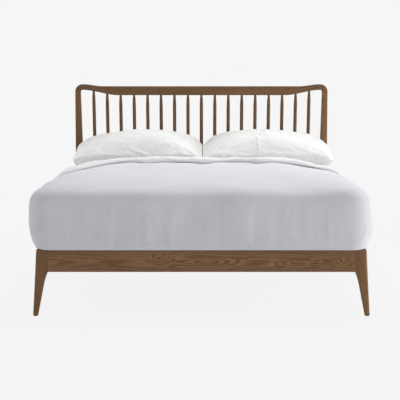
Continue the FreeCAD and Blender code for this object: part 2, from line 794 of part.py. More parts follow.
# ---------------------------------------------------------------- the whole bed
def all_nodes():
    nodes = {
        "foot_rail": foot_rail(),
        "front_leg_right": front_leg(),
        "side_rail_right": side_rail(),
        "post_right": post(),
        "crest_rail": crest_rail(),
        "lower_spindle_rail": lower_rail(),
        "head_rail": head_rail(),
        "slat_ledge_right": ledge(),
        "mid_beam": mid_beam(),
        "beam_hanger_foot": beam_hanger(),
        "beam_hanger_head": turned_end_for_end(beam_hanger()),
        "slat_strap_right": strap(),
        "corner_brackets": Part.makeCompound(both_sides(corner_brackets())),
        "bracket_bolts": Part.makeCompound(both_sides(bracket_bolts())),
        "threaded_inserts": Part.makeCompound(both_sides(threaded_inserts())),
        "fitting_screws": Part.makeCompound(both_sides(bracket_screws()) + hanger_screws()),
        "ledge_screws": Part.makeCompound(both_sides(ledge_screws())),
        "slat_screws": Part.makeCompound(both_sides(slat_screws())),
        "joint_dowels": Part.makeCompound(both_sides(rail_dowels() + [crest_dowel()])),
        "foot_glides": Part.makeCompound(both_sides([front_glide(), back_glide()])),
        "mattress": mattress(),
        "duvet": duvet(),
        "pillow_left": pillow(pillow_centres[0]),
        "pillow_right": pillow(pillow_centres[1]),
    }
    for name in ("front_leg", "side_rail", "post", "slat_ledge", "slat_strap"):
        nodes[name + "_left"] = mirrored(nodes[name + "_right"])
    for index in range(spindle_count):
        nodes[f"spindle_{index + 1:02d}"] = spindle_blank(index)
    for index in range(slat_count):
        nodes[f"slat_{index + 1:02d}"] = slat(index)
    return nodes


os.makedirs("parts", exist_ok=True)
for name, shape in all_nodes().items():
    shape.exportStep(f"parts/{name}.step")
    print(f"{name:20s} {len(shape.Solids):2d} solids  valid {shape.isValid()}  {shape.Volume / 1e3:10.1f} cm3")
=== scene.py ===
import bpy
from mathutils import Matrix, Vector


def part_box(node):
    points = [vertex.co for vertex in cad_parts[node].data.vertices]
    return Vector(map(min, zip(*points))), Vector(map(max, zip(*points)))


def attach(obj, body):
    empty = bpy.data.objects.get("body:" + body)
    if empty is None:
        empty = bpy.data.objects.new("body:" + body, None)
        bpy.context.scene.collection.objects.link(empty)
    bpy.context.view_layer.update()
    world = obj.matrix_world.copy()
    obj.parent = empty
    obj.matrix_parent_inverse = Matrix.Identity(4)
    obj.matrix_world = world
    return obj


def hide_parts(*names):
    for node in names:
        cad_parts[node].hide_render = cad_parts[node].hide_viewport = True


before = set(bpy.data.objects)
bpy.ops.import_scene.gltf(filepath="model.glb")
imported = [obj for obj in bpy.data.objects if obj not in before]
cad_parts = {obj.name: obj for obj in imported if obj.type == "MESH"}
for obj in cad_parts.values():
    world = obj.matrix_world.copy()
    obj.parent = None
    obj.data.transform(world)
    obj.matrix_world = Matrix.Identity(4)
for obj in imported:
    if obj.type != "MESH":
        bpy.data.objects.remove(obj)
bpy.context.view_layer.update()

import math

import bpy
import numpy as np

# Looks of the spindle bed: stained ash, steel fittings, mattress, duvet and two pillows.
# Metres. +X is to the right seen from the foot, +Y runs to the headboard, +Z is up.

# ---------------------------------------------------------------- sizes
BEDDING = "mattress_and_duvet"     # the body that the mattress and the duvet ride on
HEAD_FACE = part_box("post_left")[0].y
MATTRESS_LOW, MATTRESS_HIGH = (np.array(corner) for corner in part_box("mattress"))
HALF_MATTRESS = MATTRESS_HIGH[0]
MATTRESS_CORNER = 0.070            # radius of its corners seen from above
DUVET_HALF = 0.865                 # half width at the widest place
DUVET_WIDEST = 0.495               # height of that place
DUVET_TOP = 0.656
DUVET_LOW = 0.3335                 # just above the rails
DUVET_END = 0.4937                 # y of its head end, inside the fold
TUCK_LOW = 0.300                   # the tuck ends this high, behind the rails
TUCK_HALF = 0.776
TUCK_ROWS = 4                      # rows of the duvet's grid that lie in the tuck
TURN_FRONT = 0.3957                # y of the turned-back end's hem
TURN_BACK = 0.5337                 # y of its fold
SKIN_GAP = 0.0012                  # between the duvet's inner skin and the mattress
SHOULDER = (0.52, 0.64)            # heights between which the duvet's side turns into its top
PILLOW_SIZE = (0.800, 0.490)
PILLOW_CROWN = 0.128               # height of the upper skin over the seam
PILLOW_BELLY = 0.088               # depth of the lower skin under the seam
PILLOW_TILT = math.radians(10)
PILLOW_CENTRES = {"left": -0.394, "right": 0.416}


# ---------------------------------------------------------------- nodes
def linear(code):
    """Linear RGBA of an sRGB hex colour: ((c + 0.055) / 1.055) ** 2.4 above the short straight part."""
    parts = [int(code[i:i + 2], 16) / 255 for i in (0, 2, 4)]
    return [c / 12.92 if c <= 0.04045 else ((c + 0.055) / 1.055) ** 2.4 for c in parts] + [1.0]


def add(tree, kind, inputs=None, stops=None, **settings):
    """One node with its settings. Inputs are sockets by name or number, each a value or a link."""
    node = tree.nodes.new("ShaderNode" + kind)
    for name, value in settings.items():
        setattr(node, name, value)
    for name, value in (inputs or {}).items():
        if isinstance(value, bpy.types.NodeSocket):
            tree.links.new(value, node.inputs[name])
        else:
            node.inputs[name].default_value = value
    if stops:
        elements = node.color_ramp.elements
        elements.remove(elements[1])
        elements[0].position = stops[0][0]
        elements[0].color = linear(stops[0][1])
        for place, code in stops[1:]:
            elements.new(place).color = linear(code)
    return node


def calc(tree, operation, *values, clamp=False):
    """Number from a Math node."""
    return add(tree, "Math", dict(enumerate(values)), operation=operation, use_clamp=clamp).outputs[0]


def combine(tree, operation, *vectors, output=0):
    """Vector from a Vector Math node, or with output=1 its number."""
    return add(tree, "VectorMath", dict(enumerate(vectors)), operation=operation).outputs[output]


def mapped(tree, vector, **inputs):
    """Vector moved, turned or scaled."""
    return add(tree, "Mapping", {"Vector": vector, **inputs}).outputs[0]


def noise(tree, vector, output=0, **inputs):
    """Soft random field with features about 1 apart, unless Scale says otherwise."""
    return add(tree, "TexNoise", {"Vector": vector, "Scale": 1.0, **inputs}).outputs[output]


def ranged(tree, value, old=(0.0, 1.0), new=(0.0, 1.0), **settings):
    """Number carried from one range to another and kept inside it."""
    return add(tree, "MapRange", {0: value, 1: old[0], 2: old[1], 3: new[0], 4: new[1]}, **settings).outputs[0]


def mixed(tree, share, first, second):
    """Colour between two others: the first at share 0, the second at share 1."""
    return add(tree, "Mix", {0: share, 6: first, 7: second}, data_type="RGBA").outputs[2]


def toned(tree, colour, level):
    """Colour made lighter or darker."""
    return add(tree, "VectorMath", {0: colour, 3: level}, operation="SCALE").outputs[0]


def new_tree(owner):
    """Emptied node tree of a material or a world."""
    owner.use_nodes = True
    owner.node_tree.nodes.clear()
    return owner.node_tree


class Finish:
    """Material with one Principled shader. The place is the point on the object in its own metres."""

    def __init__(self, name, colour, roughness, **shader):
        self.material = bpy.data.materials.new(name)
        self.tree = new_tree(self.material)
        inputs = {"Base Color": linear(colour), "Roughness": roughness, **shader}
        self.shade = add(self.tree, "BsdfPrincipled", inputs)
        add(self.tree, "OutputMaterial", {"Surface": self.shade.outputs[0]})
        self.place = add(self.tree, "TexCoord").outputs["Object"]

    def drive(self, **links):
        """Lets nodes set the shader's inputs; a name's underscores stand for its spaces."""
        for name, link in links.items():
            self.tree.links.new(link, self.shade.inputs[name.replace("_", " ")])

    def relief(self, height, strength, depth):
        """Fine relief of the surface."""
        bump = add(self.tree, "Bump", {"Height": height, "Strength": strength, "Distance": depth})
        self.drive(Normal=bump.outputs[0])


# ---------------------------------------------------------------- kinds of material
GRAIN_TURN = {"X": (0, 0, 0), "Y": (0, 0, -math.pi / 2), "Z": (0, math.pi / 2, 0)}


def stained_ash(name, grain, heart=(0, 0, 0), swirls=(), ring=0.0042, painted_light_shift=0.0):
    """Ash stained to a walnut brown under a thin satin lacquer: growth rings cut as cathedrals, open pores
    that hold the stain, and boards that differ a little in tone. The rings are distances from a wavering
    heart line that runs along the grain. Each swirl lifts them round one point, as beside a knot: it has the
    point's x and z, its own half length and half height, and the number of rings that it lifts them by."""
    finish = Finish(name, "7B6049", 0.5, **{"Specular IOR Level": 0.2})
    tree = finish.tree
    turned = mapped(tree, finish.place, Rotation=GRAIN_TURN[grain])
    placed = mapped(tree, turned, Location=heart)
    # heart line: wavers along the grain over about half a metre, by some 25 mm
    slow = mapped(tree, placed, Scale=(1.5, 0.4, 0.4))
    waver = noise(tree, slow, "Color", Detail=1.5, Roughness=0.4)
    centred = combine(tree, "SUBTRACT", waver, (0.5, 0.5, 0.5))
    moved = combine(tree, "MULTIPLY_ADD", centred, (0, 0.07, 0.05), placed)
    across = combine(tree, "MULTIPLY", moved, (0, 1, 1))
    distance = combine(tree, "LENGTH", across, output=1)
    rings = calc(tree, "MULTIPLY", distance, 1 / ring)
    # fibres: the rings tremble by about a third of their spacing, in streaks some 100 mm long
    tremble = noise(tree, mapped(tree, placed, Scale=(7, 120, 120)), Detail=2.0)
    rings = calc(tree, "ADD", tremble, rings)
    # figure: half of the rings' contrast in plain wood, all of it in the swirls
    figure = 0.5
    for x, z, long, high, lift in swirls:
        local = combine(tree, "ADD", turned, (-x, 0, -z))
        scaled = combine(tree, "MULTIPLY", local, (1 / long, 0, 1 / high))
        away = combine(tree, "DOT_PRODUCT", scaled, scaled, output=1)
        falling = calc(tree, "POWER", math.e, calc(tree, "MULTIPLY", away, -1.0))
        rings = calc(tree, "MULTIPLY_ADD", falling, lift, rings)
        figure = calc(tree, "MULTIPLY_ADD", falling, 0.9, figure, clamp=True)
    stops = [(0.0, "6B4A2F"), (0.12, "4F321C"), (0.30, "7A583A"), (0.62, "8F6C4C"), (0.90, "8B6848"),
             (1.0, "73522F")]
    growth = add(tree, "ValToRGB", {0: calc(tree, "FRACT", rings)}, stops=stops).outputs[0]
    growth = mixed(tree, figure, linear("846344"), growth)
    # pores: dark dashes about 25 mm long; real ones are 0.3 mm wide, drawn 1.5 mm wide so that they show
    pores = noise(tree, mapped(tree, placed, Scale=(40, 640, 640)), Detail=3.0, Roughness=0.62)
    pore_depth = ranged(tree, pores, (0.44, 0.66))
    with_pores = mixed(tree, calc(tree, "MULTIPLY", pore_depth, 0.50), growth, linear("4E321B"))
    # tone: broad bands where the stain took more or less; the shift given for each copy then raises the lightness of
    # the whole copy when positive and lowers it when negative, and that shift is painted light and shade
    cloud = noise(tree, mapped(tree, placed, Scale=(1.6, 14, 14)), Detail=2.0)
    level = ranged(tree, cloud, (0.3, 0.7), (0.86 + painted_light_shift, 1.14 + painted_light_shift))
    finish.drive(Base_Color=toned(tree, with_pores, level), Roughness=ranged(tree, pore_depth, new=(0.42, 0.60)))
    finish.relief(calc(tree, "MULTIPLY", pore_depth, -1.0), 0.35, 0.0004)
    return finish.material


def plain_timber(name, colour, dark, grain):
    """Planed, unfinished softwood or beech: even pale tone with narrow darker lines 4 mm apart along the grain."""
    finish = Finish(name, colour, 0.62)
    tree = finish.tree
    turned = mapped(tree, finish.place, Rotation=GRAIN_TURN[grain])
    lines = noise(tree, mapped(tree, turned, Scale=(3, 240, 240)), Detail=2.0, Distortion=0.3)
    stops = [(0.36, colour), (0.62, dark), (0.70, colour)]
    finish.drive(Base_Color=add(tree, "ValToRGB", {0: lines}, stops=stops).outputs[0])
    finish.relief(lines, 0.25, 0.0005)
    return finish.material


def grained(name, colour, roughness, grit, depth, **shader):
    """Coated, plated or moulded part: fine grit of the given spacing in bump and a faint drift in tone."""
    finish = Finish(name, colour, roughness, **shader)
    tree = finish.tree
    finish.relief(noise(tree, finish.place, Scale=1 / grit, Detail=2.0), 0.4, depth)
    drift = noise(tree, finish.place, Scale=9.0, Detail=2.0)
    level = ranged(tree, drift, (0.3, 0.7), (0.92, 1.08))
    finish.drive(Base_Color=toned(tree, linear(colour)[:3], level))
    return finish.material


def woven(name, colour, thread, depth, cast):
    """Washed cotton: threads crossing at right angles, slubs, and a soft change of tone over a hand's width; the
    colour is lighter on the raised threads and darker between them, as painted shade.
    Real threads are about 0.4 mm apart; they are drawn coarser so that they still show."""
    finish = Finish(name, colour, 0.86, **{"Sheen Weight": 0.25, "Sheen Roughness": 0.5, "IOR": 1.45})
    tree = finish.tree
    close, slub = 1 / thread, 0.12 / thread
    warp = noise(tree, mapped(tree, finish.place, Scale=(slub, close, close)), Detail=1.0)
    weft = noise(tree, mapped(tree, finish.place, Scale=(close, slub, slub)), Detail=1.0)
    threads = calc(tree, "ADD", warp, weft)
    finish.relief(threads, 0.18, depth)
    cloud = noise(tree, finish.place, Scale=7.0, Detail=3.0, Roughness=0.55)
    washed = mixed(tree, ranged(tree, cloud, (0.35, 0.65)), linear(colour), linear(cast))
    # painted shade: lighter on the raised threads, darker between them, from the same field as the bump
    painted_thread_shade = ranged(tree, threads, (0.7, 1.3), (0.965, 1.03))
    finish.drive(Base_Color=toned(tree, washed, painted_thread_shade))
    return finish.material


def webbing_tape(name):
    """Woven polypropylene webbing: ribs about 2.5 mm apart across the strap, lighter on their crests and darker in
    the grooves between them as painted shade.
    """
    finish = Finish(name, "E4DFD2", 0.7, **{"Sheen Weight": 0.2})
    tree = finish.tree
    # a wave's phase is 20 times its scale and place, so it needs 2 pi / (20 * spacing)
    scale = 2 * math.pi / (20 * 0.0024674011)
    wave = {"Vector": finish.place, "Scale": scale, "Distortion": 0.4}
    ribs = add(tree, "TexWave", wave, bands_direction="Y").outputs[1]
    finish.relief(ribs, 0.6, 0.0005)
    # painted shade: the grooves between the ribs are darker than their crests
    stops = [(0.0, "CFC9BA"), (1.0, "EAE6DA")]
    finish.drive(Base_Color=add(tree, "ValToRGB", {0: ribs}, stops=stops).outputs[0])
    return finish.material


# ---------------------------------------------------------------- meshes from arrays
def grid_quads(rows, columns, around=False, start=0):
    """Quads of a rows by columns grid; around closes the last column to the first."""
    r = np.arange(rows - 1)[:, None]
    c = np.arange(columns if around else columns - 1)[None, :]
    n = (c + 1) % columns
    quads = np.stack([r * columns + c, r * columns + n, (r + 1) * columns + n, (r + 1) * columns + c], axis=-1)
    return quads.reshape(-1, 4) + start


def joined(*runs):
    """Grid whose rows pass through the runs one after the other. A run is a pair of coordinates, and each is one
    value for all, a column with a value per row, a row with a value per point, or a whole grid."""
    grids = [np.stack(np.broadcast_arrays(*run), axis=-1) for run in runs]
    rows = max(len(grid) for grid in grids)
    return np.concatenate([np.broadcast_to(grid, (rows, *grid.shape[1:])) for grid in grids], axis=1)


def raised_to(plan, heights):
    """Points of a plan grid, each row at its own height."""
    return np.dstack([plan, np.broadcast_to(heights[:, None], plan.shape[:2])])


def new_object(name, data):
    """Object that is linked to the scene."""
    made = bpy.data.objects.new(name, data)
    bpy.context.scene.collection.objects.link(made)
    return made


def volume(mesh):
    """Signed volume of a closed mesh, from its triangles' corners a, b, c: the sum of a . (b x c) / 6."""
    mesh.calc_loop_triangles()
    corners = np.empty(3 * len(mesh.loop_triangles), dtype=np.int32)
    mesh.loop_triangles.foreach_get("vertices", corners)
    places = np.empty(3 * len(mesh.vertices))
    mesh.vertices.foreach_get("co", places)
    a, b, c = np.moveaxis(places.reshape(-1, 3)[corners.reshape(-1, 3)], 1, 0)
    return (a * np.cross(b, c)).sum() / 6


def piece(name, points, quads, material, weld=0.0002):
    """Smooth mesh of the points and quads, welded where points meet, its faces turned outwards."""
    mesh = bpy.data.meshes.new(name)
    mesh.from_pydata(points.reshape(-1, 3).tolist(), [], quads.tolist())
    mesh.validate()
    made = new_object(name, mesh)
    bpy.context.view_layer.objects.active = made
    for other in bpy.context.selected_objects:
        other.select_set(False)
    made.select_set(True)
    bpy.ops.object.mode_set(mode="EDIT")
    bpy.ops.mesh.select_all(action="SELECT")
    bpy.ops.mesh.remove_doubles(threshold=weld)
    bpy.ops.mesh.dissolve_degenerate(threshold=1e-5)
    bpy.ops.mesh.normals_make_consistent(inside=False)
    bpy.ops.object.mode_set(mode="OBJECT")
    if volume(mesh) < 0:
        mesh.flip_normals()
    mesh.shade_smooth()
    mesh.materials.append(material)
    return made


def soft_waves(points, length, seed, stretch=(1, 1, 1)):
    """Smooth random height from -1 to 1 or so: a sum of sines in random directions, each about length long."""
    random = np.random.default_rng(seed)
    count = 14
    way = random.normal(size=(count, 3))
    way /= np.linalg.norm(way, axis=1)[:, None]
    way *= (2 * np.pi / length) * random.uniform(0.6, 1.5, count)[:, None] / np.array(stretch)
    phase = random.uniform(0, 2 * np.pi, count)
    return np.sin(points @ way.T + phase).sum(-1) / math.sqrt(count / 2)


def grid_normals(grid):
    """Unit normals of a grid of points, from the cross product of its two steps; sign as the grid runs."""
    down = np.gradient(grid, axis=0)
    over = np.gradient(grid, axis=1)
    normal = np.cross(down, over)
    return normal / np.maximum(np.linalg.norm(normal, axis=-1, keepdims=True), 1e-9)


def smooth_step(value, low, high):
    """0 at low and before it, 1 at high and beyond it, 3t2 - 2t3 between; low may be above high."""
    t = np.clip((value - low) / (high - low), 0, 1)
    return t * t * (3 - 2 * t)


def dent(value, place, width):
    """1 at the place, falling off to both sides as a bell curve."""
    return np.exp(-((value - place) / width) ** 2)


def settle(points, quads, pinned, pressure, cap, slack):
    """Points after a short cloth simulation: the skin is blown outwards by the filling, its cut is larger than
    its shape by slack, pinned points stay, and no point moves further than cap."""
    frames, stiffness = 15, 12.0
    mesh = bpy.data.meshes.new("settling")
    mesh.from_pydata(points.reshape(-1, 3).tolist(), [], quads.tolist())
    body = new_object("settling", mesh)
    held = body.vertex_groups.new(name="held")
    held.add(np.nonzero(pinned.ravel())[0].tolist(), 1.0, "REPLACE")
    cloth = body.modifiers.new("cloth", "CLOTH")
    rules = cloth.settings
    rules.quality = 5
    rules.mass = 0.3
    rules.tension_stiffness = stiffness
    rules.compression_stiffness = stiffness
    rules.shear_stiffness = stiffness / 3
    rules.bending_stiffness = 0.4
    rules.use_pressure = True
    rules.uniform_pressure_force = pressure
    rules.shrink_min = -slack
    rules.vertex_group_mass = "held"
    rules.effector_weights.gravity = 0
    cloth.collision_settings.use_collision = False
    cloth.point_cache.frame_start = 1
    cloth.point_cache.frame_end = frames
    scene = bpy.context.scene
    for step in range(1, frames + 1):
        scene.frame_set(step)
    moved = body.evaluated_get(bpy.context.evaluated_depsgraph_get()).data
    found = np.empty(len(moved.vertices) * 3)
    moved.vertices.foreach_get("co", found)
    scene.frame_set(1)
    bpy.data.objects.remove(body)
    shift = found.reshape(-1, 3) - points.reshape(-1, 3)
    far = np.linalg.norm(shift, axis=1, keepdims=True)
    shift *= cap * np.tanh(far / cap) / np.maximum(far, 1e-9)
    return (points.reshape(-1, 3) + shift).reshape(points.shape)


# ---------------------------------------------------------------- mattress
def mattress_outline(inset):
    """Round-cornered rectangle, one row per inset, closed, anticlockwise from its front left."""
    inset = np.asarray(inset)[:, None]
    half, front, back = HALF_MATTRESS - inset, MATTRESS_LOW[1] + inset, MATTRESS_HIGH[1] - inset
    corner = np.maximum(MATTRESS_CORNER - inset, 0.0)
    quarter = np.linspace(0, np.pi / 2, 14, endpoint=False)[None, :]
    t_end = np.linspace(0, 1, 70, endpoint=False)[None, :]
    t_side = np.linspace(0, 1, 60, endpoint=False)[None, :]
    out, aside = corner * np.sin(quarter), corner * np.cos(quarter)
    wide, long = 2 * half - 2 * corner, back - corner - front - corner
    return joined((-half + corner + wide * t_end, front),
                  (half - corner + out, front + corner - aside),
                  (half, front + corner + long * t_side),
                  (half - corner + aside, back - corner + out),
                  (half - corner - wide * t_end, back),
                  (-half + corner - out, back - corner + aside),
                  (-half, back - corner - long * t_side),
                  (-half + corner - aside, front + corner - out))


def mattress_points():
    """Profile carried round the outline: under the mattress, up its side between two taped edges, over the top.
    The side swells by 4 mm, and the quilting's 170 mm diamonds are 3.5 mm deep."""
    low, high = MATTRESS_LOW[2], MATTRESS_HIGH[2]
    edge = 0.022                       # radius of its upper and lower edges
    swell, quilting, diamond = 0.004, 0.0035, 0.17
    turn = np.linspace(0, np.pi / 2, 7)
    rise = np.linspace(low + edge, high - edge, 16)[1:-1]
    off_middle = (rise - rise.mean()) / (high - low) * 2
    inwards = np.linspace(edge, HALF_MATTRESS, 52)[1:]
    inset = np.concatenate([[HALF_MATTRESS, 0.5, 0.2], edge * (1 - np.sin(turn)), -swell * (1 - off_middle ** 2),
                            edge * (1 - np.cos(turn)), inwards])
    z = np.concatenate([[low] * 3, low + edge * (1 - np.cos(turn)), rise,
                        high - edge + edge * np.sin(turn), [high] * len(inwards)])
    points = raised_to(mattress_outline(inset), z)
    x, y = points[..., 0], points[..., 1]
    pattern = np.abs(np.sin(np.pi * (x + y) / diamond) * np.sin(np.pi * (x - y) / diamond)) ** 0.6
    on_top = (np.arange(len(z)) > len(z) - len(inwards))[:, None]
    fade = smooth_step(inset, 0.03, 0.10)[:, None]
    points[..., 2] += on_top * (quilting * pattern - quilting) * fade
    return points


def tape_edge(z):
    """Sewn tape round the mattress's edge: a roll 9 mm across, sunk 3.5 mm in, carried round the outline."""
    radius = 0.0045
    ring = np.linspace(0, 2 * np.pi, 10, endpoint=False)
    points = raised_to(mattress_outline(0.0035 - radius * np.cos(ring)), z + radius * np.sin(ring))
    rows, columns = points.shape[:2]
    return np.concatenate([points, points[:1]]), grid_quads(rows + 1, columns, around=True)


# ---------------------------------------------------------------- duvet
def shoulder_height(share):
    """Height of the duvet's skin where its half width is this share of the widest: a tight soft shoulder."""
    return DUVET_WIDEST + (DUVET_TOP - DUVET_WIDEST) * (1 - share ** 8.333) ** 0.2128


def lower_half(z):
    """Half width below the widest place: the side curves in by 45 mm towards the rails."""
    drop = (DUVET_WIDEST - z) / (DUVET_WIDEST - DUVET_LOW)
    return DUVET_HALF - 0.045 * drop ** 2.6


def half_section(z, turns, first, tops):
    """Half widths and heights of the duvet's skin: up its side through the heights z, round the shoulder in turns
    steps, and over the top to the middle in tops points, from the first share of the shoulder's end inwards."""
    share = np.cos(np.linspace(0, np.pi / 2, turns + 1)[:-1]) ** 0.24
    flat = np.linspace(DUVET_HALF * share[-1] * first, 0.0, tops)
    return np.stack([np.concatenate([lower_half(z), DUVET_HALF * share, flat]),
                     np.concatenate([z, shoulder_height(share), shoulder_height(flat / DUVET_HALF)])], axis=1)


def duvet_levels():
    """Half widths and heights from the tuck behind the rails, under the bulge, up the side and over to the middle."""
    tuck = [(TUCK_HALF, TUCK_LOW), (TUCK_HALF, TUCK_LOW + 0.018), (0.777, DUVET_LOW - 0.004), (0.782, DUVET_LOW),
            (0.798, DUVET_LOW), (0.811, DUVET_LOW + 0.0015)]
    z = DUVET_LOW + 0.004 + (DUVET_WIDEST - DUVET_LOW - 0.004) * np.linspace(0, 1, 17, endpoint=False)
    return np.concatenate([tuck, half_section(z, 24, 0.96, 44)])


def duvet_plan(half, height=None, thick_front=0.8, rounding=0.120):
    """Three-sided outline from the head end, down the left, round the foot and up the right, one row per half
    width. Given the heights, its front and corners draw in below the widest place."""
    half = np.asarray(half, float)[:, None]
    below = 0 if height is None else np.where(height[:, None] < DUVET_WIDEST, DUVET_HALF - half, 0)
    front = MATTRESS_LOW[1] - thick_front * (half - HALF_MATTRESS) - 0.85 * below
    corner = np.minimum(rounding + (DUVET_HALF - half) / 4, half) - 1.2 * below
    t_down = np.linspace(0, 1, 110, endpoint=False)[None, :]
    quarter = np.linspace(0, np.pi / 2, 26, endpoint=False)[None, :]
    t_foot = np.linspace(0, 1, 120, endpoint=False)[None, :]
    t_up = np.linspace(0, 1, 111)[None, :]
    return joined((-half, DUVET_END + (front + corner - DUVET_END) * t_down),
                  (-half + corner * (1 - np.cos(quarter)), front + corner * (1 - np.sin(quarter))),
                  (-half + corner + (2 * half - 2 * corner) * t_foot, front),
                  (half - corner + corner * np.sin(quarter), front + corner * (1 - np.cos(quarter))),
                  (half, front + corner + (DUVET_END - front - corner) * t_up))


def pulled_lines(points, length, seed, width, patch, start, stretch=(1, 1, 1)):
    """Thin lines where a slow random field crosses zero, only in the patches where a second field is high."""
    lines = dent(soft_waves(points, length, seed, stretch), 0, width)
    return lines * smooth_step(soft_waves(points, patch, seed + 1), start, 1.0)


def creases(points):
    """Height of the duvet's folds: a broad unevenness of the filling, soft upright folds and pulled lines on the
    sides that fade at the shoulder, a few lines on the top, and a crinkle on the front."""
    upright = 1 - smooth_step(points[..., 2], 0.50, 0.63)
    on_front = smooth_step(points[..., 1], -0.9, -1.03)
    broad = 0.0024 * soft_waves(points, 0.48, 3) + 0.0012 * soft_waves(points, 0.22, 4)
    folds = soft_waves(points, 0.095, 5, (1, 1, 4.5)) + 0.6 * soft_waves(points, 0.050, 6, (1, 1, 5))
    pulled = pulled_lines(points, 0.30, 7, 0.10, 0.36, 0.1, (1, 1, 1.6))
    on_top = pulled_lines(points, 0.34, 9, 0.09, 0.4, 0.0, (1.7, 1, 1)) * (1 - upright)
    crinkle = pulled_lines(points, 0.10, 11, 0.15, 0.2, -0.2)
    return (broad + upright * (0.0012 * folds + 0.0030 * pulled) + 0.0028 * on_top
            + 0.0019 * crinkle * on_front - 0.003)


def pulled_in(x, z):
    """The duvet is pulled in above the rails, evenly from the middle out: by up to 12 mm at its right, 5 mm at
    its left."""
    return x * (1 - (0.006 + 0.008 * (x > 0)) * smooth_step(z, 0.35, SHOULDER[0]))


def head_crown(x, z):
    """How much higher than the foot end the duvet lies at its head end: 12 mm more in the middle, 22 mm less
    at the shoulders, nothing down the sides."""
    return (0.012 - 0.034 * smooth_step(np.abs(x), 0.42, 0.80)) * smooth_step(z, *SHOULDER)


def foot_slope(x, y, z):
    """How far the top falls towards the foot: 11 mm in the middle, nothing at the shoulders."""
    return (0.011 * smooth_step(-y, 0.45, 1.0) * (1 - smooth_step(np.abs(x), 0.50, 0.80))
            * smooth_step(z, *SHOULDER))


def hem_dips(x):
    """How far the duvet's top is pressed down under the turned-back hem, in three soft places 11 mm deep."""
    return sum(0.011 * dent(x, place, 0.055) for place in (-0.325, 0.015, 0.345))


def duvet_outer(levels):
    """Outer skin, from the tuck to the middle of the top, with its creases and its unevenness."""
    half, height = levels.T
    outer = raised_to(duvet_plan(half, height), height)
    # the tuck keeps inside the legs' blocks at the foot corners
    outer[:TUCK_ROWS, :, :2] = duvet_plan(np.full(TUCK_ROWS, TUCK_HALF), thick_front=1.0)
    rows, columns = outer.shape[:2]
    normal = grid_normals(outer)
    if normal[rows // 3, columns // 2, 1] > 0:
        normal = -normal
    # the rows run together in one line in the middle of the top, where a normal can't be told
    normal = np.where(outer[..., 2:] > 0.654, [0.0, 0.0, 1.0], normal)
    free = smooth_step(outer[..., 2], DUVET_LOW + 0.002, DUVET_LOW + 0.05)
    free = free * smooth_step(DUVET_END - outer[..., 1], 0.0, 0.03)
    outer = outer + normal * (creases(outer) * free)[..., None]
    near_hem = smooth_step(outer[..., 1], 0.30, 0.38) * (outer[..., 2] > 0.6)
    to_head = smooth_step(outer[..., 1], -0.25, 0.38)
    outer[..., 2] += head_crown(outer[..., 0], outer[..., 2]) * to_head - hem_dips(outer[..., 0]) * near_hem
    outer[..., 2] -= foot_slope(*np.moveaxis(outer, -1, 0))
    outer[..., 0] = pulled_in(outer[..., 0], outer[..., 2])
    pinned = np.zeros((rows, columns), bool)
    pinned[:2 * TUCK_ROWS] = True
    pinned[:, :2] = pinned[:, -2:] = True
    return settle(outer, grid_quads(rows, columns), pinned, pressure=1.0, cap=0.006, slack=0.012)


def duvet_inner(levels):
    """Inner skin, level by level with the outer one: up the mattress's side from the tuck and over its top."""
    half, height = levels.T
    first_top = np.argmax((height > 0.6) & (half < 0.745))
    edge, top = HALF_MATTRESS + SKIN_GAP, MATTRESS_HIGH[2] + SKIN_GAP
    up = np.array([(edge, TUCK_LOW), (edge, 0.47), (edge, 0.560), (0.7615, 0.578), (0.7545, 0.5885), (0.745, top)])
    share = np.linspace(0, len(up) - 1, first_top, endpoint=False)
    side_half, side_z = (np.interp(share, np.arange(len(up)), values) for values in up.T)
    plan = duvet_plan(np.concatenate([side_half, half[first_top:]]), thick_front=1.0, rounding=0.047)
    return raised_to(plan, np.concatenate([side_z, np.full(len(half) - first_top, top)]))


def duvet():
    """Closed quilt: outer skin over the mattress, inner skin just off it, joined at the tuck and the head end."""
    levels = duvet_levels()
    outer, inner = duvet_outer(levels), duvet_inner(levels)
    rows, columns = outer.shape[:2]
    points = np.concatenate([inner[::-1], outer])
    quads = [grid_quads(2 * rows, columns)]
    # head end: strips between the two skins on the left and the right
    level = np.arange(rows - 1)
    for column in (0, columns - 1):
        outside, inside = (rows + level) * columns + column, (rows - 1 - level) * columns + column
        quads.append(np.stack([outside, outside + columns, inside - columns, inside], axis=-1))
    return points, np.concatenate(quads)


def turn_path():
    """Way of the turned-back end: up the right side, over the top, down the left; points, outward directions,
    and how far along they are."""
    right = half_section(np.linspace(0.352, DUVET_WIDEST, 16, endpoint=False), 45, 0.985, 56)
    whole = np.concatenate([right, (right * [-1, 1])[-2::-1]])
    whole[:, 1] += head_crown(whole[:, 0], whole[:, 1])
    step = np.gradient(whole, axis=0)
    out = np.stack([step[:, 1], -step[:, 0]], axis=1)
    out /= np.linalg.norm(out, axis=1)[:, None]
    run = np.concatenate([[0], np.cumsum(np.linalg.norm(np.diff(whole, axis=0), axis=1))])
    return whole, out, run


